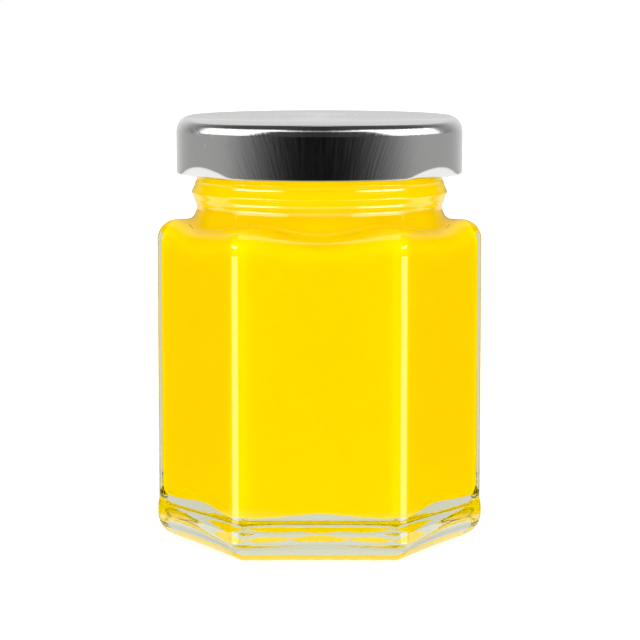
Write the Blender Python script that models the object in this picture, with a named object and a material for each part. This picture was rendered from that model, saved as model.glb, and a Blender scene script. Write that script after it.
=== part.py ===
"""A hexagonal glass jar, filled with a smooth yellow cream and shut with a twist-off metal lid.

Metres, +Z up. The jar stands on its bearing ring at z = 0, on the axis of its neck, with one flat
face square to -Y and two of its six corners on the X axis.
"""

import bpy
import numpy as np

MM = 0.001

# Glass body: a hexagonal prism with rounded corners and a slightly prouder heel
APOTHEM = 30.5 * MM
CORNER_RADIUS = 3.0 * MM
WALL = 2.3 * MM
INNER_CORNER_RADIUS = 4.5 * MM
HEEL_PROUD = 0.25 * MM
HEEL_ROUND_CORNER = 4.9 * MM
HEEL_REACH_FACE = 3.7 * MM
HEEL_RISE_FACE = 5.5 * MM
HEEL_TOP = 6.9 * MM
PANEL_BOTTOM = 8.1 * MM

# Underside: a hexagonal bearing ring round a domed push-up
PUNT_HEIGHT = 2.7 * MM
PUNT_POWER = 1.76
PUNT_APOTHEM = 24.0 * MM
PUNT_CORNER_RADIUS = 9.0 * MM

# Shoulder: a shelf that stands high at the six corners and dips at the middle of each face
SHELF_CORNER = 68.5 * MM
SHELF_FACE = 66.3 * MM
SHOULDER_ROUND_CORNER = 4.2 * MM
SHOULDER_ROUND_FACE = 1.7 * MM
NECK_FOOT_CORNER = 68.75 * MM
NECK_FOOT_FACE = 67.2 * MM
NECK_FOOT_RADIUS = 27.2 * MM
NECK_FOOT_ROUND = 1.15 * MM

# Neck: a waist, a carrying bead, then the plain finish that the lid covers
NECK_RADIUS = 26.15 * MM
WAIST_HEIGHT = 71.1 * MM
BEAD_HEIGHT = 74.65 * MM
BEAD_PROUD = 1.15 * MM
BEAD_SLOPE = 0.47
BEAD_CREST = 0.12 * MM
BEAD_FOOT = 0.35 * MM
RIM_ROUND = 0.9 * MM
BORE_RADIUS = 23.9 * MM

# Cavity: its floor dips at the corners, its own shoulder runs under the shelf
FLOOR_CORNER = 9.2 * MM
FLOOR_FACE = 10.0 * MM
FLOOR_CENTRE = 8.3 * MM
FLOOR_ROUND_FACE = 4.8 * MM
FLOOR_ROUND_CORNER = 2.2 * MM
SHOULDER_DROP = 2.6 * MM
CAVITY_FOOT_DROP = 1.6 * MM
CAVITY_SHOULDER_ROUND = 2.6 * MM
CAVITY_FOOT_ROUND = 1.4 * MM

# Filling: level hidden by the lid, a usual headspace below the rim
FILL_LEVEL = 83.0 * MM
GAP = 0.3 * MM

# Lid: tinplate pressing with a raised crown ring, a rolled edge and three lugs
LID_TOP = 90.9 * MM
LID_BOTTOM = 78.5 * MM
LID_RADIUS = 30.5 * MM
LID_SHEET = 0.4 * MM
LID_ROUND = 3.3 * MM
PANEL_DEPTH = 0.3 * MM
PANEL_RADIUS = 21.0 * MM
CROWN_RADIUS = 24.0 * MM
CURL_WIDTH = 1.9 * MM
CURL_HEIGHT = 1.6 * MM
CURL_TOP_ROUND = 0.5 * MM
CURL_ROUND = 0.6 * MM
LUG_CENTRES = (-33.0, 90.0, 213.0)
LUG_HALF_ANGLE = 18.5
LUG_ARCH = 2.2 * MM
LUG_SLOPE = 0.75
LUG_DROP = 0.18 * MM
LUG_PITCH = 0.25 * MM

# Facets: steps round a corner, along a face, and round the lid
CORNER_STEPS = 4
FACE_STEPS = 8
LID_STEPS = 72

SIDE = np.radians(60.0)
HALF_SIDE = SIDE / 2


def clear_scene():
    for obj in list(bpy.data.objects):
        bpy.data.objects.remove(obj, do_unlink=True)


def material(name, colour, roughness, metallic=0.0, transmission=0.0, ior=1.5):
    """A Principled material; colour is linear RGB."""
    made = bpy.data.materials.new(name)
    made.use_nodes = True
    shader = made.node_tree.nodes["Principled BSDF"]
    shader.inputs["Base Color"].default_value = (*colour, 1.0)
    shader.inputs["Roughness"].default_value = roughness
    shader.inputs["Metallic"].default_value = metallic
    shader.inputs["Transmission Weight"].default_value = transmission
    shader.inputs["IOR"].default_value = ior
    return made


def jar_angles():
    """Azimuths round the jar: equal turns of the surface on each corner's arc, equal steps on each face."""
    to_centre = (APOTHEM - CORNER_RADIUS) / np.cos(HALF_SIDE)
    turn = np.linspace(-HALF_SIDE, HALF_SIDE, CORNER_STEPS + 1)
    arc = np.arctan2(CORNER_RADIUS * np.sin(turn), to_centre + CORNER_RADIUS * np.cos(turn))
    face = np.linspace(arc[-1], SIDE - arc[-1], FACE_STEPS + 1)[1:-1]
    return np.concatenate([side * SIDE + np.concatenate([arc, face]) for side in range(6)])


def hexagon_radius(angles, apothem, corner_radius):
    """Distance from the axis to a hexagon of this apothem whose corners, one on +X, are arcs."""
    from_corner = np.abs((angles + HALF_SIDE) % SIDE - HALF_SIDE)
    to_centre = (apothem - corner_radius) / np.cos(HALF_SIDE)
    arc_end = np.arctan2(
        corner_radius * np.sin(HALF_SIDE), to_centre + corner_radius * np.cos(HALF_SIDE)
    )
    flat = apothem / np.cos(HALF_SIDE - from_corner)
    under_root = corner_radius**2 - (to_centre * np.sin(from_corner)) ** 2
    arc = to_centre * np.cos(from_corner) + np.sqrt(np.maximum(under_root, 0.0))
    return np.where(from_corner < arc_end, arc, flat)


def corner_weight(angles):
    """One at the jar's corners and nought at the middle of its faces."""
    return (1 + np.cos(6 * angles)) / 2


def blend(weight, at_face, at_corner):
    return at_face + (at_corner - at_face) * weight


def rounded_path(stations, count):
    """Rings (radius, height) along a profile of straight runs.

    A station is (radius, height, setback, steps). With steps, its corner is cut back by the setback
    on both sides, or by a pair of them, and joined by a circular or elliptic arc: the rational curve
    of the cut's ends and the corner, whose middle weighs the cosine of half the turn.
    """
    corners = [np.stack([np.broadcast_to(value, count) for value in at[:2]]) for at in stations]
    rings = []
    for index, (_, _, setbacks, steps) in enumerate(stations):
        corner = corners[index]
        if not steps:
            rings.append(corner)
            continue
        back = corners[index - 1] - corner
        back = back / np.linalg.norm(back, axis=0)
        onward = corners[index + 1] - corner
        onward = onward / np.linalg.norm(onward, axis=0)
        middle = np.sqrt((1 - (back * onward).sum(axis=0)) / 2)
        before, after = setbacks if isinstance(setbacks, tuple) else (setbacks, setbacks)
        for part in np.linspace(0.0, 1.0, steps + 1):
            weights = (1 - part) ** 2, 2 * part * (1 - part) * middle, part**2
            ends = corner + before * back, corner, corner + after * onward
            ring = sum(weight * end for weight, end in zip(weights, ends))
            rings.append(ring / sum(weights))
    return rings


def mesh_of_rings(name, rings, angles, finish):
    """A closed mesh from rings of (radius, height) about Z; the first and the last shrink to a point."""
    count = len(angles)
    radius, height = np.stack(rings[1:-1], axis=1)
    x = radius * np.cos(angles)
    y = radius * np.sin(angles)
    body = np.stack([x, y, height], axis=-1).reshape(-1, 3)
    poles = np.array([[0.0, 0.0, rings[0][1].mean()], [0.0, 0.0, rings[-1][1].mean()]])
    points = np.concatenate([body, poles])
    around = np.arange(count)
    after = (around + 1) % count
    faces = []
    for ring in range(len(rings) - 3):
        low = ring * count
        high = low + count
        faces += np.stack([low + around, low + after, high + after, high + around], axis=1).tolist()
    last = (len(rings) - 3) * count
    first_pole = np.full(count, len(body))
    faces += np.stack([first_pole, after, around], axis=1).tolist()
    faces += np.stack([first_pole + 1, last + around, last + after], axis=1).tolist()
    mesh = bpy.data.meshes.new(name)
    mesh.from_pydata(points.tolist(), [], faces)
    mesh.validate()
    mesh.shade_smooth()
    mesh.set_sharp_from_angle(angle=np.radians(35.0))
    mesh.materials.append(finish)
    made = bpy.data.objects.new(name, mesh)
    bpy.context.scene.collection.objects.link(made)
    return made


def underside(angles):
    """From the axis out over the push-up, a power of the share of the way, to the bearing ring."""
    edge = hexagon_radius(angles, PUNT_APOTHEM, PUNT_CORNER_RADIUS)
    shares = (0.0, 0.35, 0.65, 0.85, 1.0)
    return [(share * edge, PUNT_HEIGHT * (1 - share**PUNT_POWER), 0.0, 0) for share in shares]


def outer_wall(angles):
    """Heel, side panel, shoulder shelf and the foot of the neck, from the table up."""
    weight = corner_weight(angles)
    heel = hexagon_radius(angles, APOTHEM + HEEL_PROUD, CORNER_RADIUS + HEEL_PROUD)
    panel = hexagon_radius(angles, APOTHEM, CORNER_RADIUS)
    shelf = blend(weight, SHELF_FACE, SHELF_CORNER)
    shoulder_round = blend(weight * (2 - weight), SHOULDER_ROUND_FACE, SHOULDER_ROUND_CORNER)
    foot = blend(weight, NECK_FOOT_FACE, NECK_FOOT_CORNER)
    heel_round = (blend(weight, HEEL_REACH_FACE, HEEL_ROUND_CORNER),
                  blend(weight, HEEL_RISE_FACE, HEEL_ROUND_CORNER))
    return [
        (heel, 0.0, heel_round, 4),
        (heel, HEEL_TOP, 0.0, 0),
        (panel, PANEL_BOTTOM, 0.0, 0),
        (panel, shelf, shoulder_round, 4),
        (NECK_FOOT_RADIUS, foot, NECK_FOOT_ROUND, 3),
    ]


def neck():
    """Waist, bead and finish.

    The bead falls off along a hyperbola on both sides of its crest and runs out along another:
    fall = slope (sqrt(h^2 + crest^2) - crest), bead = (rest + sqrt(rest^2 + foot^2)) / 2 for what the
    fall leaves.
    """
    reach = BEAD_HEIGHT - WAIST_HEIGHT
    heights = BEAD_HEIGHT + reach * np.linspace(-1.0, 1.0, 9)
    rest = BEAD_PROUD - BEAD_SLOPE * (np.hypot(heights - BEAD_HEIGHT, BEAD_CREST) - BEAD_CREST)
    radii = NECK_RADIUS + (rest + np.hypot(rest, BEAD_FOOT)) / 2
    bead = [(radius, height, 0.0, 0) for radius, height in zip(radii, heights)]
    rim = LID_TOP - LID_SHEET - GAP
    return bead + [(NECK_RADIUS, rim, RIM_ROUND, 2), (BORE_RADIUS, rim, RIM_ROUND, 2)]


def cavity(angles, inset):
    """The inside of the glass from the neck down to the floor's middle, drawn in by an inset."""
    weight = corner_weight(angles)
    wall = hexagon_radius(angles, APOTHEM - WALL - inset, INNER_CORNER_RADIUS - inset)
    shelf = blend(weight, SHELF_FACE, SHELF_CORNER) - SHOULDER_DROP - inset
    foot = blend(weight, NECK_FOOT_FACE, NECK_FOOT_CORNER) - CAVITY_FOOT_DROP - inset
    floor = blend(weight, FLOOR_FACE, FLOOR_CORNER) + inset
    middle = FLOOR_CENTRE + inset
    return [
        (BORE_RADIUS - inset, foot, CAVITY_FOOT_ROUND, 2),
        (wall, shelf, CAVITY_SHOULDER_ROUND, 4),
        (wall, floor, blend(weight, FLOOR_ROUND_FACE, FLOOR_ROUND_CORNER), 4),
        (0.5 * wall, (floor + middle) / 2, 0.0, 0),
        (0.0, middle, 0.0, 0),
    ]


def glass_jar(angles):
    stations = underside(angles) + outer_wall(angles) + neck() + cavity(angles, 0.0)
    rings = rounded_path(stations, len(angles))
    finish = material("clear glass", (0.97, 0.99, 0.96), 0.0, transmission=1.0, ior=1.52)
    return mesh_of_rings("glass_jar", rings, angles, finish)


def filling(angles):
    """A solid of the cream, clear of the glass by the gap, with a level top."""
    top = [(0.0, FILL_LEVEL, 0.0, 0), (BORE_RADIUS - GAP, FILL_LEVEL, 0.0, 0)]
    stations = (top + cavity(angles, GAP))[::-1]
    rings = rounded_path(stations, len(angles))
    finish = material("yellow cream", (0.96, 0.68, 0.0), 0.5)
    return mesh_of_rings("filling", rings, angles, finish)


def lid_profile():
    """The pressing's section, from the middle of its inside, down, round the curl and back over the top."""
    inner = LID_RADIUS - LID_SHEET
    under_top = LID_TOP - LID_SHEET
    curl_inside = LID_RADIUS - CURL_WIDTH
    curl_top = LID_BOTTOM + CURL_HEIGHT
    arch_top = LID_BOTTOM + LUG_ARCH
    return [
        (0.0, under_top - PANEL_DEPTH, 0.0, 0),
        (PANEL_RADIUS, under_top - PANEL_DEPTH, 0.0, 0),
        (CROWN_RADIUS, under_top, 0.0, 0),
        (inner, under_top, LID_ROUND - LID_SHEET, 3),
        (inner, arch_top + LUG_ARCH / 2, 0.0, 0),
        (inner, arch_top - LUG_ARCH / 6, 0.0, 0),
        (curl_inside, curl_top, CURL_TOP_ROUND, 1),
        (curl_inside, LID_BOTTOM, CURL_ROUND, 2),
        (LID_RADIUS, LID_BOTTOM, CURL_ROUND, 2),
        (LID_RADIUS, LID_BOTTOM + LUG_ARCH / 2, 0.0, 0),
        (LID_RADIUS, arch_top, 0.0, 0),
        (LID_RADIUS, arch_top + LUG_ARCH / 2, 0.0, 0),
        (LID_RADIUS, LID_TOP, LID_ROUND, 4),
        (CROWN_RADIUS, LID_TOP, 0.0, 0),
        (PANEL_RADIUS, LID_TOP - PANEL_DEPTH, 0.0, 0),
        (0.0, LID_TOP - PANEL_DEPTH, 0.0, 0),
    ]


def with_lugs(rings, angles):
    """Presses the lower skirt in at each lug, under an arch, and lets the lug's edge run on a slight pitch."""
    across = np.full(len(angles), np.inf)
    for centre in LUG_CENTRES:
        turn = (np.degrees(angles) - centre + 180.0) % 360.0 - 180.0
        across = np.where(np.abs(turn) < np.abs(across) * LUG_HALF_ANGLE, turn / LUG_HALF_ANGLE, across)
    within = np.abs(across) < 1
    arch = np.where(within, 1 - np.where(within, across, 0.0) ** 2, 0.0)
    slant = np.where(within, LUG_DROP + LUG_PITCH * np.where(within, across, 0.0), 0.0) * arch
    pressed = []
    for radius, height in rings:
        depth = np.maximum(LID_BOTTOM + LUG_ARCH * arch - height, 0.0)
        near_edge = np.clip(1 - (height - LID_BOTTOM) / LUG_ARCH, 0.0, 1.0)
        pressed.append(np.stack([radius - LUG_SLOPE * depth, height - slant * near_edge]))
    return pressed


def lid():
    angles = np.linspace(0.0, 2 * np.pi, LID_STEPS, endpoint=False)
    rings = with_lugs(rounded_path(lid_profile(), LID_STEPS), angles)
    finish = material("brushed tinplate", (0.42, 0.42, 0.42), 0.3, metallic=1.0)
    return mesh_of_rings("lid", rings, angles, finish)


clear_scene()
around_jar = jar_angles()
glass_jar(around_jar)
filling(around_jar)
lid()
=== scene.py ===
"""A hexagonal glass jar of yellow cream with a twist-off lid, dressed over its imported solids.

Metres, +Z up, one flat face of the jar to -Y. Angles in the surfaces are azimuths about Z.
"""

import bpy
import numpy as np
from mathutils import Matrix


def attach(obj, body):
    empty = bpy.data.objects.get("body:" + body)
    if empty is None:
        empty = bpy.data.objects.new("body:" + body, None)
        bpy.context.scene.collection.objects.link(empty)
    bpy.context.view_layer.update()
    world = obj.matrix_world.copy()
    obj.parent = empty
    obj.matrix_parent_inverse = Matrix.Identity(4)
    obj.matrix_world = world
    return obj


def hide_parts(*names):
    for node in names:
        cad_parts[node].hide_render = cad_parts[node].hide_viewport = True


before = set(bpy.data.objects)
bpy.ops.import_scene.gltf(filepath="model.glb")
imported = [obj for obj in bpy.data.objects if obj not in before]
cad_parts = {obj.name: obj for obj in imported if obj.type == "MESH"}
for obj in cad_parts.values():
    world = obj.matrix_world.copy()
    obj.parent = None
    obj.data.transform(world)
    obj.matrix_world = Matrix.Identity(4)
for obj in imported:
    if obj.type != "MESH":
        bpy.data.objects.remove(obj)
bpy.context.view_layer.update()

# Camera: a long portrait lens, a little above the lid and looking down at the jar.
# Its distance, height, tilt and lens are the ones that put the jar's outline where the photograph has it.
MM = 0.001
CAMERA_DISTANCE = 546.2 * MM
CAMERA_HEIGHT = 112.9 * MM
CAMERA_ASIDE = 0.11 * MM
CAMERA_TILT = np.radians(6.89)
CAMERA_LENS = 143.96
CAMERA_SENSOR = 36.0

camera = bpy.data.objects.new("camera", bpy.data.cameras.new("camera"))
camera.data.sensor_width = CAMERA_SENSOR
camera.data.lens = CAMERA_LENS
camera.location = (CAMERA_ASIDE, -CAMERA_DISTANCE, CAMERA_HEIGHT)
camera.rotation_euler = (np.pi / 2 - CAMERA_TILT, 0.0, 0.0)
bpy.context.scene.collection.objects.link(camera)
bpy.context.scene.camera = camera
bpy.context.scene.view_settings.view_transform = "Standard"

# Studio: a white sweep behind and overhead, a dark room behind the camera, and a tall softbox to
# each side. The brushed lid and the glass mirror them, and what is matt is lit by one soft fill.
# Angles are in degrees: elevations, and azimuths from the front, the same to the left and right.
LEVEL_GREYS = ((0, 0.0), (20, 0.005), (32, 0.03), (42, 0.08), (54, 0.17), (66, 0.29), (78, 0.41),
               (90, 0.47), (130, 0.49), (140, 0.55), (150, 0.68), (162, 0.85), (180, 1.15))
ROOM_GREYS = ((0, 0.03), (24, 0.06), (100, 0.1), (120, 0.25), (132, 0.4), (144, 0.65), (156, 0.85),
              (168, 0.95), (175, 0.78), (180, 0.74))
STREAK_GREYS = ((0, 0.25), (12, 0.6), (24, 1.1), (36, 2.0), (44, 2.0), (50, 0.0), (180, 0.0))
NEAR_FLOOR_LIGHT = 1.3
NEAR_FLOOR_EDGE = (-12.0, -28.0)
NEAR_FLOOR_SIDE = (75.0, 105.0)
UNDERNEATH_SHARE = 0.4
UNDERNEATH_EDGE = (-50.0, -62.0)
HORIZON = (-1.5, 1.5)
STREAK_BAND = (33.0, 45.0, 4.0)
SWEEP_LIGHT = 1.0
SWEEP_SLANT = 0.657
SWEEP_EDGE = (0.9, 0.97)
CEILING_FRONT, CEILING_BACK = 0.69, 1.04
CEILING_CHANGE = (90.0, 130.0)
CEILING_EDGE = (76.0, 82.0)
SOFTBOX_LIGHT = 2.2
SOFTBOX_NEAR_SLANT = 0.5
SOFTBOX_NEAR_EDGE = (59.0, 62.0)
SOFTBOX_FAR_EDGE = (114.0, 106.0)
SOFTBOX_TOP_SLANT = 0.26
SOFTBOX_TOP_EDGE = (58.0, 55.0)
SOFTBOX_LOW_EDGE = (0.0, 3.0)
OVERHEAD_LIGHT = 1.4
OVERHEAD_EDGE = (58.0, 70.0)
BACK_GREYS = ((0, 0.24), (25, 0.3), (45, 0.5), (65, 0.9), (90, 1.2))
BACK_TABLE_LIGHT = 0.8
BACK_TABLE_EDGE = (-3.0, 1.0)
BACK_EDGE = (130.0, 150.0)
TABLE_LIGHT = 1.2
TABLE_EDGE = (-11.1, -11.4)
TABLE_SHADE = (-62.0, -32.0, 5.0)
TABLE_END = (124.0, 136.0)
CARD_GREYS = ((0, 0.0), (26, 0.0), (33, 3.5), (80, 3.5), (90, 0.0), (180, 0.0))
CARD_BAND = (-17.0, -4.6, 0.6)
STRIP_LIGHT = 9.0
STRIP_BANDS = ((13.0, 24.5, 1.5), (-25.0, -16.5, 1.5))
STRIP_ASIDE = (30.0, 92.0, 16.0)
SEEN_THROUGH = 0.8
SEEN_THROUGH_EDGE = (50.0, 75.0)
FRONT_FILL, BACK_FILL = 2.0, 1.9
FILL_CHANGE = (30.0, 120.0)
SEEN_BY_CAMERA = 1.0
NO_TO_YES = (0.0, 1.0)


def linear(hex_colour):
    """RGBA in linear light of an sRGB hex colour: the standard two-part transfer curve."""
    values = np.array([int(hex_colour[at:at + 2], 16) for at in (1, 3, 5)]) / 255
    light = np.where(values <= 0.04045, values / 12.92, ((values + 0.055) / 1.055) ** 2.4)
    return (*light.tolist(), 1.0)


def add_node(tree, kind, inputs=(), **settings):
    """A node of this kind; settings are its own properties, inputs are pairs of socket and value or link."""
    node = tree.nodes.new(kind)
    for name, value in settings.items():
        setattr(node, name, value)
    for socket, value in inputs:
        if isinstance(value, bpy.types.NodeSocket):
            tree.links.new(value, node.inputs[socket])
        else:
            node.inputs[socket].default_value = value
    return node


def lit_past(tree, under, light, *edges):
    """The light past the end of every edge, what is under it before any edge's start, eased between.

    An edge is (value, start, end), and its end may be the lower of the two. It fades the light so
    far into what is under it by a smooth step of its value, so that all the steps are multiplied.
    """
    for value, start, end in edges:
        fade = [("Value", value), ("From Min", start), ("From Max", end),
                ("To Min", under), ("To Max", light)]
        light = add_node(tree, "ShaderNodeMapRange", fade, interpolation_type="SMOOTHSTEP").outputs[0]
    return light


def band(value, low, high, soft):
    """The two edges of a band between low and high, each of them soft this far inwards."""
    return (value, low, low + soft), (value, high, high - soft)


def grey_curve(tree, value, stops):
    """A brightness read along straight lines between (value, brightness) stops."""
    last = stops[-1][0]
    top = max(grey for _, grey in stops)
    share = add_node(tree, "ShaderNodeMath", [(0, value), (1, last)], operation="DIVIDE")
    ramp = add_node(tree, "ShaderNodeValToRGB", [("Fac", share.outputs[0])])
    points = ramp.color_ramp.elements
    while len(points) < len(stops):
        points.new(0.5)
    for point, (place, grey) in zip(points, stops):
        point.position = place / last
        point.color = (grey / top, grey / top, grey / top, 1.0)
    scaled = add_node(tree, "ShaderNodeMath", [(0, ramp.outputs["Color"]), (1, top)], operation="MULTIPLY")
    return scaled.outputs[0]


world = bpy.data.worlds.new("white sweep and dark room")
bpy.context.scene.world = world
world.use_nodes = True
sky = world.node_tree
sky.nodes.clear()
towards = add_node(sky, "ShaderNodeTexCoord").outputs["Generated"]
axes = add_node(sky, "ShaderNodeSeparateXYZ", [("Vector", towards)]).outputs
lift = add_node(sky, "ShaderNodeMath", [(0, axes["Z"])], operation="ARCSINE").outputs[0]
elevation = add_node(sky, "ShaderNodeMath", [(0, lift)], operation="DEGREES").outputs[0]
forward = add_node(sky, "ShaderNodeMath", [(0, axes["Y"]), (1, -1.0)], operation="MULTIPLY").outputs[0]
turn = add_node(sky, "ShaderNodeMath", [(0, axes["X"]), (1, forward)], operation="ARCTAN2").outputs[0]
either_way = add_node(sky, "ShaderNodeMath", [(0, turn)], operation="ABSOLUTE").outputs[0]
azimuth = add_node(sky, "ShaderNodeMath", [(0, either_way)], operation="DEGREES").outputs[0]

# What brushed metal mirrors, from below upwards: the bright floor close by and beside, then the
# level greys and the dark room
underneath = lit_past(sky, 0.0, UNDERNEATH_SHARE, (elevation, *UNDERNEATH_EDGE))
beside = lit_past(sky, 0.0, 1.0, (azimuth, *NEAR_FLOOR_SIDE), (elevation, *NEAR_FLOOR_EDGE))
near_floor = add_node(sky, "ShaderNodeMath", [(0, underneath), (1, beside)], operation="MAXIMUM").outputs[0]
level = grey_curve(sky, azimuth, LEVEL_GREYS)
mirrored = add_node(sky, "ShaderNodeMix",
                    [("Factor", near_floor), ("A", level), ("B", NEAR_FLOOR_LIGHT)]).outputs[0]
mirrored = lit_past(sky, mirrored, grey_curve(sky, azimuth, ROOM_GREYS), (elevation, *HORIZON))

# Above them: a slim streak over the front, the ceiling, and between them the white sweep, which starts
# where z + slant y of the direction passes its edge
streak = add_node(sky, "ShaderNodeMath", [(0, mirrored), (1, grey_curve(sky, azimuth, STREAK_GREYS))],
                  operation="MAXIMUM").outputs[0]
mirrored = lit_past(sky, mirrored, streak, *band(elevation, *STREAK_BAND))
sweep = add_node(sky, "ShaderNodeMath", [(0, axes["Y"]), (1, SWEEP_SLANT), (2, axes["Z"])],
                 operation="MULTIPLY_ADD").outputs[0]
mirrored = lit_past(sky, mirrored, SWEEP_LIGHT, (sweep, *SWEEP_EDGE))
ceiling = lit_past(sky, CEILING_FRONT, CEILING_BACK, (azimuth, *CEILING_CHANGE))
mirrored = lit_past(sky, mirrored, ceiling, (elevation, *CEILING_EDGE))

# The softboxes, whose near and top edges slant
near_slant = add_node(sky, "ShaderNodeMath", [(0, elevation), (1, SOFTBOX_NEAR_SLANT), (2, azimuth)],
                      operation="MULTIPLY_ADD").outputs[0]
top_slant = add_node(sky, "ShaderNodeMath", [(0, azimuth), (1, SOFTBOX_TOP_SLANT), (2, elevation)],
                     operation="MULTIPLY_ADD").outputs[0]
mirrored = lit_past(sky, mirrored, SOFTBOX_LIGHT, (near_slant, *SOFTBOX_NEAR_EDGE),
                    (azimuth, *SOFTBOX_FAR_EDGE), (top_slant, *SOFTBOX_TOP_EDGE),
                    (elevation, *SOFTBOX_LOW_EDGE))

# What clear glass mirrors: a dark studio with the ceiling, the sweep and the table, and a light card
# to each side between two strip lights
overhead = lit_past(sky, 0.0, OVERHEAD_LIGHT, (elevation, *OVERHEAD_EDGE))
back = lit_past(sky, BACK_TABLE_LIGHT, grey_curve(sky, elevation, BACK_GREYS), (elevation, *BACK_TABLE_EDGE))
glinting = lit_past(sky, overhead, back, (azimuth, *BACK_EDGE))
table = lit_past(sky, glinting, TABLE_LIGHT, (elevation, *TABLE_EDGE))
shade = lit_past(sky, 0.0, 1.0, *band(elevation, *TABLE_SHADE))
past_table = lit_past(sky, 0.0, 1.0, (azimuth, *TABLE_END))
unlit = add_node(sky, "ShaderNodeMath", [(0, shade), (1, past_table)], operation="MAXIMUM").outputs[0]
glinting = add_node(sky, "ShaderNodeMix", [("Factor", unlit), ("A", table), ("B", glinting)]).outputs[0]
card = add_node(sky, "ShaderNodeMath", [(0, glinting), (1, grey_curve(sky, azimuth, CARD_GREYS))],
                operation="ADD").outputs[0]
glinting = lit_past(sky, glinting, card, *band(elevation, *CARD_BAND))
for strip in STRIP_BANDS:
    glinting = lit_past(sky, glinting, STRIP_LIGHT, *band(elevation, *strip), *band(azimuth, *STRIP_ASIDE))

# What is seen through the glass: the plain sweep, and towards the front the room that metal mirrors
through = lit_past(sky, mirrored, SEEN_THROUGH, (azimuth, *SEEN_THROUGH_EDGE))

# Which of these a ray finds goes by what it left. Rays from smooth glass are singular, those with a
# diffuse bounce come from matt cream or paper, and the rest from metal. The camera sees plain white
fill = lit_past(sky, FRONT_FILL, BACK_FILL, (azimuth, *FILL_CHANGE))
path = add_node(sky, "ShaderNodeLightPath").outputs
from_glass = lit_past(sky, glinting, through, (path["Is Transmission Ray"], *NO_TO_YES))
light = lit_past(sky, mirrored, from_glass, (path["Is Singular Ray"], *NO_TO_YES))
light = lit_past(sky, light, fill, (path["Diffuse Depth"], *NO_TO_YES))
light = lit_past(sky, light, SEEN_BY_CAMERA, (path["Is Camera Ray"], *NO_TO_YES))
around = add_node(sky, "ShaderNodeBackground", [("Color", light)])
add_node(sky, "ShaderNodeOutputWorld", [("Surface", around.outputs[0])])

# Floor: a plain white table top, wide enough for every view.
# Reflections look past it, so that the glass and the lid show the studio's soft greys instead.
FLOOR_HALF = 3.0
FLOOR_WHITE = "#bcbcbc"
FLOOR_GLOW = 0.65

floor_mesh = bpy.data.meshes.new("floor")
floor_corners = [(-FLOOR_HALF, -FLOOR_HALF, 0.0), (FLOOR_HALF, -FLOOR_HALF, 0.0),
                 (FLOOR_HALF, FLOOR_HALF, 0.0), (-FLOOR_HALF, FLOOR_HALF, 0.0)]
floor_mesh.from_pydata(floor_corners, [], [(0, 1, 2, 3)])
floor = bpy.data.objects.new("floor", floor_mesh)
bpy.context.scene.collection.objects.link(floor)
paper = bpy.data.materials.new("white paper sweep")
paper.use_nodes = True
sheet = paper.node_tree
sheet.nodes.clear()
matt = add_node(sheet, "ShaderNodeBsdfDiffuse", [("Color", linear(FLOOR_WHITE))])
lit = add_node(sheet, "ShaderNodeEmission", [("Color", (1.0, 1.0, 1.0, 1.0)), ("Strength", FLOOR_GLOW)])
white = add_node(sheet, "ShaderNodeAddShader", [(0, matt.outputs[0]), (1, lit.outputs[0])])
clear = add_node(sheet, "ShaderNodeBsdfTransparent")
bounced = add_node(sheet, "ShaderNodeLightPath").outputs["Is Glossy Ray"]
shown = add_node(sheet, "ShaderNodeMixShader", [(0, bounced), (1, white.outputs[0]), (2, clear.outputs[0])])
add_node(sheet, "ShaderNodeOutputMaterial", [("Surface", shown.outputs[0])])
floor_mesh.materials.append(paper)

# Glass jar: one blown and pressed body of clear soda-lime glass. Six flat panels with rounded
# corners, a prouder heel, a push-up inside a stippled bearing ring, a shoulder that rises at each
# corner, and a neck with a carrying bead under the plain finish that the lid closes on.
APOTHEM = 30.5 * MM
CORNER_RADIUS = 3.0 * MM
WALL = 2.3 * MM
INNER_CORNER_RADIUS = 4.5 * MM
HEEL_PROUD = 0.25 * MM
HEEL_ROUND_CORNER = 4.9 * MM
HEEL_REACH_FACE = 4.7 * MM
HEEL_RISE_FACE = 5.5 * MM
HEEL_TOP = 6.9 * MM
PANEL_BOTTOM = 8.1 * MM
HEEL_STEP_ROUND = 0.5 * MM
PUNT_HEIGHT = 2.7 * MM
PUNT_POWER = 1.76
PUNT_RINGS = 20
PUNT_APOTHEM = 24.0 * MM
PUNT_CORNER_RADIUS = 9.0 * MM
RING_WIDTH = 0.25 * MM
STIPPLE_HEIGHT = 0.25 * MM
STIPPLE_COUNT = 48
SHELF_CORNER = 68.5 * MM
SHELF_FACE = 66.3 * MM
SHOULDER_ROUND_CORNER = 4.2 * MM
SHOULDER_ROUND_FACE = 1.7 * MM
NECK_FOOT_CORNER = 68.75 * MM
NECK_FOOT_FACE = 67.2 * MM
NECK_FOOT_RADIUS = 27.2 * MM
NECK_FOOT_ROUND = 1.15 * MM
NECK_RADIUS = 26.15 * MM
WAIST_HEIGHT = 71.1 * MM
BEAD_HEIGHT = 74.65 * MM
BEAD_PROUD = 1.15 * MM
BEAD_SLOPE = 0.47
BEAD_CREST = 0.12 * MM
BEAD_FOOT = 0.35 * MM
RIDGES = ((72.7 * MM, 0.14 * MM, 0.8 * MM), (76.65 * MM, 0.08 * MM, 0.6 * MM))
NECK_RINGS = 97
RIM_HEIGHT = 90.2 * MM
RIM_ROUND = 0.9 * MM
BORE_RADIUS = 23.9 * MM
FLOOR_CORNER = 9.2 * MM
FLOOR_FACE = 10.0 * MM
FLOOR_CENTRE = 8.3 * MM
FLOOR_FALL = 0.8
FLOOR_RINGS = 12
FLOOR_ROUND_FACE = 4.8 * MM
FLOOR_ROUND_CORNER = 2.2 * MM
SHOULDER_DROP = 2.6 * MM
CAVITY_FOOT_DROP = 1.6 * MM
CAVITY_SHOULDER_ROUND = 2.6 * MM
CAVITY_FOOT_ROUND = 1.4 * MM
SIDE = np.radians(60.0)
HALF_SIDE = SIDE / 2
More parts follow.
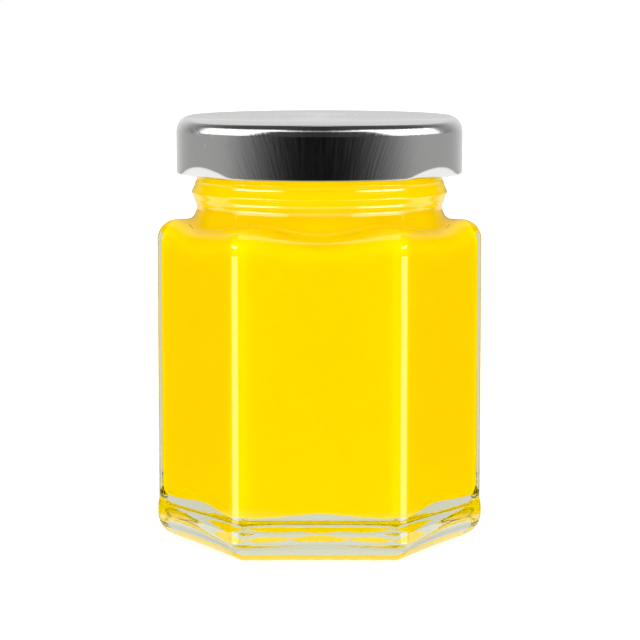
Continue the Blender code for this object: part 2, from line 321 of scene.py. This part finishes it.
CORNER_STEPS = 18
FACE_STEPS = 30
RUN_SHARES = (0.02, 0.1, 0.3, 0.5, 0.7, 0.9, 0.98)


def jar_angles(corner_steps, face_steps):
    """Azimuths: equal turns of the surface on each corner's arc, equal steps of azimuth on each face."""
    to_centre = (APOTHEM - CORNER_RADIUS) / np.cos(HALF_SIDE)
    turn = np.linspace(-HALF_SIDE, HALF_SIDE, corner_steps + 1)
    arc = np.arctan2(CORNER_RADIUS * np.sin(turn), to_centre + CORNER_RADIUS * np.cos(turn))
    face = np.linspace(arc[-1], SIDE - arc[-1], face_steps + 1)[1:-1]
    return np.concatenate([side * SIDE + np.concatenate([arc, face]) for side in range(6)])


def hexagon_radius(angles, apothem, corner_radius):
    """Distance from the axis to a hexagon of this apothem whose corners, one on +X, are arcs.

    On a face it is the apothem over the cosine of the angle from the face's middle. On an arc it is
    the farther of the two places where the ray cuts the corner's circle.
    """
    from_corner = np.abs((angles + HALF_SIDE) % SIDE - HALF_SIDE)
    to_centre = (apothem - corner_radius) / np.cos(HALF_SIDE)
    arc_end = np.arctan2(
        corner_radius * np.sin(HALF_SIDE), to_centre + corner_radius * np.cos(HALF_SIDE)
    )
    flat = apothem / np.cos(HALF_SIDE - from_corner)
    under_root = corner_radius**2 - (to_centre * np.sin(from_corner)) ** 2
    arc = to_centre * np.cos(from_corner) + np.sqrt(np.maximum(under_root, 0.0))
    return np.where(from_corner < arc_end, arc, flat)


def corner_weight(angles):
    """One at the jar's corners and nought at the middle of its faces: (1 + cos 6a) / 2."""
    return (1 + np.cos(6 * angles)) / 2


def blend(weight, at_face, at_corner):
    """Straight mix from the value at a face's middle to the value at a corner."""
    return at_face + (at_corner - at_face) * weight


def rounded_path(stations, count):
    """Rings (radius, height) along a profile of straight runs with rounded corners.

    A station is (radius, height, setback, steps). With steps, its corner is cut back by the setback
    on both sides, or by a pair of them, and joined by a circular or elliptic arc: the rational quadratic
    curve of the cut's ends and the corner, whose middle weighs the cosine of half the turn. Each straight
    run gets rings at its run shares, so that the smooth shading of an arc stays off the flat beside it.
    """
    corners = [np.stack([np.broadcast_to(value, count) for value in at[:2]]) for at in stations]
    rings = []
    for index, (_, _, setbacks, steps) in enumerate(stations):
        corner = corners[index]
        arc = [corner]
        if steps:
            back = corners[index - 1] - corner
            back = back / np.linalg.norm(back, axis=0)
            onward = corners[index + 1] - corner
            onward = onward / np.linalg.norm(onward, axis=0)
            middle = np.sqrt((1 - (back * onward).sum(axis=0)) / 2)
            before, after = setbacks if isinstance(setbacks, tuple) else (setbacks, setbacks)
            arc = []
            for part in np.linspace(0.0, 1.0, steps + 1):
                weights = (1 - part) ** 2, 2 * part * (1 - part) * middle, part**2
                ends = corner + before * back, corner, corner + after * onward
                ring = sum(weight * end for weight, end in zip(weights, ends))
                arc.append(ring / sum(weights))
        if rings and (steps or stations[index - 1][3]):
            rings += [rings[-1] + share * (arc[0] - rings[-1]) for share in RUN_SHARES]
        rings += arc
    return rings


def turned_mesh(name, rings, angles, finish):
    """A closed piece from rings of (radius, height) about Z; the first and the last ring are its poles.

    A ring's point at azimuth a lies at (radius cos a, radius sin a, height).
    """
    count = len(angles)
    radius, height = np.stack(rings[1:-1], axis=1)
    body = np.stack([radius * np.cos(angles), radius * np.sin(angles), height], axis=-1).reshape(-1, 3)
    poles = np.array([[0.0, 0.0, rings[0][1].mean()], [0.0, 0.0, rings[-1][1].mean()]])
    around = np.arange(count)
    after = (around + 1) % count
    low = np.arange(len(rings) - 3)[:, None] * count
    walls = np.stack([low + around, low + after, low + count + after, low + count + around], axis=-1)
    last = (len(rings) - 3) * count
    first_pole = np.full(count, len(body))
    caps = np.concatenate([np.stack([first_pole, after, around], axis=1),
                           np.stack([first_pole + 1, last + around, last + after], axis=1)])
    mesh = bpy.data.meshes.new(name)
    mesh.from_pydata(np.concatenate([body, poles]).tolist(), [],
                     walls.reshape(-1, 4).tolist() + caps.tolist())
    mesh.shade_smooth()
    mesh.materials.append(finish)
    piece = bpy.data.objects.new(name, mesh)
    bpy.context.scene.collection.objects.link(piece)
    return piece


def underside(angles):
    """The push-up and the bearing ring, from the axis outwards.

    The push-up falls with a power of the share of the way to its edge: height (1 - share^power).
    The ring is notched by a cosine of the azimuth.
    """
    edge = hexagon_radius(angles, PUNT_APOTHEM, PUNT_CORNER_RADIUS)
    notches = STIPPLE_HEIGHT * (1 - np.cos(STIPPLE_COUNT * angles)) / 2
    shares = np.linspace(0.0, 1.0, PUNT_RINGS, endpoint=False)
    push_up = [(share * edge, PUNT_HEIGHT * (1 - share**PUNT_POWER), 0.0, 0) for share in shares]
    return push_up + [(edge, notches, 0.0, 0), (edge + RING_WIDTH, notches, 0.0, 0)]


def outer_wall(angles):
    """Heel, side panel, shoulder shelf and the foot of the neck, from the table up."""
    weight = corner_weight(angles)
    heel = hexagon_radius(angles, APOTHEM + HEEL_PROUD, CORNER_RADIUS + HEEL_PROUD)
    panel = hexagon_radius(angles, APOTHEM, CORNER_RADIUS)
    shelf = blend(weight, SHELF_FACE, SHELF_CORNER)
    shoulder_round = blend(weight * (2 - weight), SHOULDER_ROUND_FACE, SHOULDER_ROUND_CORNER)
    foot = blend(weight, NECK_FOOT_FACE, NECK_FOOT_CORNER)
    heel_round = (blend(weight, HEEL_REACH_FACE, HEEL_ROUND_CORNER),
                  blend(weight, HEEL_RISE_FACE, HEEL_ROUND_CORNER))
    return [
        (heel, 0.0, heel_round, 20),
        (heel, HEEL_TOP, HEEL_STEP_ROUND, 6),
        (panel, PANEL_BOTTOM, HEEL_STEP_ROUND, 6),
        (panel, shelf, shoulder_round, 16),
        (NECK_FOOT_RADIUS, foot, NECK_FOOT_ROUND, 10),
    ]


def neck():
    """Waist, bead and finish.

    The bead falls off along a hyperbola on both sides of its crest and runs out along another:
    fall = slope (sqrt(h^2 + crest^2) - crest), bead = (rest + sqrt(rest^2 + foot^2)) / 2, where the
    rest is what the fall leaves. Each of the mould's two parting ridges adds a squared cosine's hump.
    """
    reach = BEAD_HEIGHT - WAIST_HEIGHT
    heights = BEAD_HEIGHT + reach * np.linspace(-1.0, 1.0, NECK_RINGS)
    rest = BEAD_PROUD - BEAD_SLOPE * (np.hypot(heights - BEAD_HEIGHT, BEAD_CREST) - BEAD_CREST)
    radii = NECK_RADIUS + (rest + np.hypot(rest, BEAD_FOOT)) / 2
    for height, proud, across in RIDGES:
        radii += proud * np.cos(np.clip((heights - height) / across, -1.0, 1.0) * np.pi / 2) ** 2
    bead = [(radius, height, 0.0, 0) for radius, height in zip(radii, heights)]
    return bead + [(NECK_RADIUS, RIM_HEIGHT, RIM_ROUND, 6), (BORE_RADIUS, RIM_HEIGHT, RIM_ROUND, 6)]


def cavity(angles, inset):
    """The inside of the glass from the neck down to the floor's middle, drawn in by an inset.

    The floor falls to its middle along share^2 (3 - 2 share) of the way out to the wall.
    """
    weight = corner_weight(angles)
    wall = hexagon_radius(angles, APOTHEM - WALL - inset, INNER_CORNER_RADIUS - inset)
    shelf = blend(weight, SHELF_FACE, SHELF_CORNER) - SHOULDER_DROP - inset
    foot = blend(weight, NECK_FOOT_FACE, NECK_FOOT_CORNER) - CAVITY_FOOT_DROP - inset
    base = blend(weight, FLOOR_FACE, FLOOR_CORNER) + inset
    middle = FLOOR_CENTRE + inset
    falls = []
    for share in np.linspace(FLOOR_FALL, 0.0, FLOOR_RINGS):
        height = middle + (base - middle) * share**2 * (3 - 2 * share)
        falls.append((share * wall, height, 0.0, 0))
    return [
        (BORE_RADIUS - inset, foot, CAVITY_FOOT_ROUND, 8),
        (wall, shelf, CAVITY_SHOULDER_ROUND, 12),
        (wall, base, blend(weight, FLOOR_ROUND_FACE, FLOOR_ROUND_CORNER), 16),
        *falls,
    ]


# Clear flint glass: colourless in a thin wall, a trace of yellow-green through the thick base,
# fire-polished, with the faint waves that a mould leaves.
GLASS_IOR = 1.52
GLASS_TINT = "#eef2d8"
GLASS_DENSITY = 20.0
WAVE_WIDTH = 11.11 * MM
WAVE_DEPTH = 0.01 * MM

glass = bpy.data.materials.new("fire-polished flint glass")
glass.use_nodes = True
tree = glass.node_tree
shader = tree.nodes["Principled BSDF"]
shader.inputs["Base Color"].default_value = (1.0, 1.0, 1.0, 1.0)
shader.inputs["Roughness"].default_value = 0.0
shader.inputs["IOR"].default_value = GLASS_IOR
shader.inputs["Transmission Weight"].default_value = 1.0
place = add_node(tree, "ShaderNodeTexCoord").outputs["Object"]
waves = add_node(tree, "ShaderNodeTexNoise", [("Vector", place), ("Scale", 1 / WAVE_WIDTH), ("Detail", 1.0)])
wavy = add_node(tree, "ShaderNodeBump", [("Height", waves.outputs["Fac"]), ("Distance", WAVE_DEPTH)])
tree.links.new(wavy.outputs["Normal"], shader.inputs["Normal"])
depth = add_node(tree, "ShaderNodeVolumeAbsorption",
                 [("Color", linear(GLASS_TINT)), ("Density", GLASS_DENSITY)])
tree.links.new(depth.outputs[0], tree.nodes["Material Output"].inputs["Volume"])

around_jar = jar_angles(CORNER_STEPS, FACE_STEPS)
jar_path = underside(around_jar) + outer_wall(around_jar) + neck() + cavity(around_jar, 0.0)
glass_jar = turned_mesh("clear_glass_jar", rounded_path(jar_path, len(around_jar)), around_jar, glass)
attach(glass_jar, "root")
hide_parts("glass_jar")

# Filling: smooth opaque yellow cream, poured in warm, so that it wets the whole wall.
# It reaches just into the glass, so that no air shows between them, and ends level in the neck.
FILL_LEVEL = 83.0 * MM
FILL_INTO_WALL = 0.15 * MM
CREAM_ROUGHNESS = 0.6
CREAM_YELLOW = "#ffda00"
CREAM_LIGHT = "#ffdc04"
CLOUD_WIDTH = 16.67 * MM

cream = bpy.data.materials.new("smooth yellow cream")
cream.use_nodes = True
tree = cream.node_tree
shader = tree.nodes["Principled BSDF"]
shader.inputs["Roughness"].default_value = CREAM_ROUGHNESS
shader.inputs["Specular IOR Level"].default_value = 0.0
place = add_node(tree, "ShaderNodeTexCoord").outputs["Object"]
clouds = add_node(tree, "ShaderNodeTexNoise",
                  [("Vector", place), ("Scale", 1 / CLOUD_WIDTH), ("Detail", 3.0)])
shade = add_node(tree, "ShaderNodeMix",
                 [("Factor", clouds.outputs["Fac"]), ("A", linear(CREAM_YELLOW)),
                  ("B", linear(CREAM_LIGHT))], data_type="RGBA")
tree.links.new(shade.outputs["Result"], shader.inputs["Base Color"])

cream_top = [(0.0, FILL_LEVEL, 0.0, 0), (BORE_RADIUS + FILL_INTO_WALL, FILL_LEVEL, 0.0, 0)]
cream_path = (cream_top + cavity(around_jar, -FILL_INTO_WALL))[::-1]
filling = turned_mesh("yellow_cream", rounded_path(cream_path, len(around_jar)), around_jar, cream)
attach(filling, "root")
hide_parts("filling")

# Lid: one pressing of thin brushed tinplate. A sunk panel inside a crown ring, a rounded edge,
# a plain skirt rolled into a curl, and three lugs pressed in from the skirt's lower edge.
LID_TOP = 90.9 * MM
LID_BOTTOM = 78.5 * MM
LID_RADIUS = 30.5 * MM
LID_SHEET = 0.4 * MM
LID_ROUND = 3.3 * MM
PANEL_DEPTH = 0.3 * MM
PANEL_RADIUS = 21.0 * MM
CROWN_RADIUS = 24.0 * MM
PANEL_STEP_ROUND = 1.2 * MM
CURL_WIDTH = 1.9 * MM
CURL_HEIGHT = 1.6 * MM
CURL_TOP_ROUND = 0.5 * MM
CURL_ROUND = 0.6 * MM
LUG_CENTRES = (-35.0, 90.0, 215.0)
LUG_HALF_ANGLE = 18.5
LUG_EDGE_ROUND = 0.35 * MM
LUG_ARCH = 2.2 * MM
LUG_SLOPE = 0.75
LUG_DROP = 0.18 * MM
LUG_PITCH = 0.25 * MM
LUG_FLANK = 0.25
LUG_ZONE = 1.5 * LUG_ARCH
SKIRT_RINGS = 24
INNER_SKIRT_RINGS = 12
LID_STEPS = 360


def lid_path():
    """The pressing's section, from the middle of its inside, down, round the curl and back over the top."""
    inner = LID_RADIUS - LID_SHEET
    under_top = LID_TOP - LID_SHEET
    curl_inside = LID_RADIUS - CURL_WIDTH
    curl_top = LID_BOTTOM + CURL_HEIGHT
    skirt = np.linspace(LID_BOTTOM + CURL_ROUND, LID_BOTTOM + LUG_ZONE, SKIRT_RINGS)
    inner_skirt = np.linspace(skirt[-1], curl_top, INNER_SKIRT_RINGS)[:-1]
    return [
        (0.0, under_top - PANEL_DEPTH, 0.0, 0),
        (PANEL_RADIUS, under_top - PANEL_DEPTH, 0.0, 0),
        (CROWN_RADIUS, under_top, 0.0, 0),
        (inner, under_top, LID_ROUND - LID_SHEET, 8),
        *[(inner, height, 0.0, 0) for height in inner_skirt],
        (curl_inside, curl_top, CURL_TOP_ROUND, 4),
        (curl_inside, LID_BOTTOM, CURL_ROUND, 5),
        (LID_RADIUS, LID_BOTTOM, CURL_ROUND, 5),
        *[(LID_RADIUS, height, 0.0, 0) for height in skirt[1:]],
        (LID_RADIUS, LID_TOP, LID_ROUND, 24),
        (CROWN_RADIUS, LID_TOP, PANEL_STEP_ROUND, 4),
        (PANEL_RADIUS, LID_TOP - PANEL_DEPTH, PANEL_STEP_ROUND, 4),
        (0.0, LID_TOP - PANEL_DEPTH, 0.0, 0),
    ]


def with_lugs(rings, angles):
    """Presses the lower skirt in at each lug, under the arch of a parabola 1 - across^2.

    The depth grows with the way below the arch, along a hyperbola that rounds its edge, and the
    lug's lower edge drops and tilts by a slight pitch.
    """
    across = np.full(len(angles), np.inf)
    for centre in LUG_CENTRES:
        turn = (np.degrees(angles) - centre + 180.0) % 360.0 - 180.0
        across = np.where(np.abs(turn) < np.abs(across) * LUG_HALF_ANGLE, turn / LUG_HALF_ANGLE, across)
    within = np.abs(across) < 1
    arch = np.where(within, 1 - np.where(within, across, 0.0) ** 2, 0.0)
    slant = np.where(within, LUG_DROP + LUG_PITCH * np.where(within, across, 0.0), 0.0) * arch
    pressed = []
    for radius, height in rings:
        below = LID_BOTTOM + LUG_ARCH * arch - height
        depth = (below + np.hypot(below, LUG_EDGE_ROUND)) / 2 * np.clip(arch / LUG_FLANK, 0.0, 1.0)
        near_edge = np.clip(1 - (height - LID_BOTTOM) / LUG_ARCH, 0.0, 1.0)
        pressed.append(np.stack([radius - LUG_SLOPE * depth, height - slant * near_edge]))
    return pressed


def unrolled(rings, angles):
    """Where each ring point lay on the flat blank: its length from the middle, turned by its azimuth.

    The rings run from the middle of the inside to the middle of the top, so each half is measured
    from its own end, and the lengths meet in the curl.
    """
    path = np.stack(rings).mean(axis=2)
    steps = np.hypot(*np.diff(path, axis=0).T)
    from_start = np.concatenate([[0.0], np.cumsum(steps)])
    length = np.minimum(from_start, from_start[-1] - from_start)[1:-1, None]
    flat = np.stack([length * np.cos(angles), length * np.sin(angles)], axis=-1).reshape(-1, 2)
    return np.concatenate([flat, np.zeros((2, 2))])


# Brushed tinplate: steel sheet under clear lacquer, with a satin brushing in straight lines, made
# before it was pressed. It smears what it mirrors round the lid, which is across the lines in
# front and behind. The lines are drawn coarser than real ones, so that they show.
TIN_GREY = "#d0d0cf"
TIN_ANISOTROPY = 0.8
BRUSH_LINE = 0.7 * MM
BRUSH_LENGTH = 9.0 * MM
BRUSH_DEPTH = 0.04 * MM
BRUSH_TROUGH, BRUSH_CREST = 0.3, 0.7
SMOOTHEST, ROUGHEST = 0.1, 0.18

tinplate = bpy.data.materials.new("brushed lacquered tinplate")
tinplate.use_nodes = True
tree = tinplate.node_tree
shader = tree.nodes["Principled BSDF"]
shader.inputs["Base Color"].default_value = linear(TIN_GREY)
shader.inputs["Metallic"].default_value = 1.0
shader.inputs["Anisotropic"].default_value = TIN_ANISOTROPY
blank = add_node(tree, "ShaderNodeUVMap", uv_map="flat_blank").outputs[0]
round_lid = add_node(tree, "ShaderNodeTangent", direction_type="RADIAL", axis="Z").outputs[0]
tree.links.new(round_lid, shader.inputs["Tangent"])
lines = add_node(tree, "ShaderNodeMapping",
                 [("Vector", blank), ("Scale", (1 / BRUSH_LINE, 1 / BRUSH_LENGTH, 1.0))])
brush = add_node(tree, "ShaderNodeTexNoise",
                 [("Vector", lines.outputs[0]), ("Scale", 1.0), ("Detail", 3.0), ("Roughness", 0.6)])
rough = add_node(tree, "ShaderNodeMapRange",
                 [("Value", brush.outputs["Fac"]), ("From Min", BRUSH_TROUGH), ("From Max", BRUSH_CREST),
                  ("To Min", SMOOTHEST), ("To Max", ROUGHEST)])
tree.links.new(rough.outputs[0], shader.inputs["Roughness"])
scratch = add_node(tree, "ShaderNodeBump", [("Height", brush.outputs["Fac"]), ("Distance", BRUSH_DEPTH)])
tree.links.new(scratch.outputs["Normal"], shader.inputs["Normal"])

lid_angles = np.linspace(0.0, 2 * np.pi, LID_STEPS, endpoint=False)
plain_rings = rounded_path(lid_path(), LID_STEPS)
lid = turned_mesh("twist_off_lid", with_lugs(plain_rings, lid_angles), lid_angles, tinplate)

# Rays that leave the matt cream, or that have come through glass, miss the lid, so that the cream in
# the neck is as bright as lower down
lid.visible_diffuse = False
lid.visible_transmission = False

# Each corner of the mesh remembers its place on the flat blank, for the brush lines
corner_points = np.empty(len(lid.data.loops), dtype=np.int32)
lid.data.loops.foreach_get("vertex_index", corner_points)
flat_blank = lid.data.uv_layers.new(name="flat_blank")
flat_blank.uv.foreach_set("vector", unrolled(plain_rings, lid_angles)[corner_points].ravel())
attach(lid, "root")
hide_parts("lid")
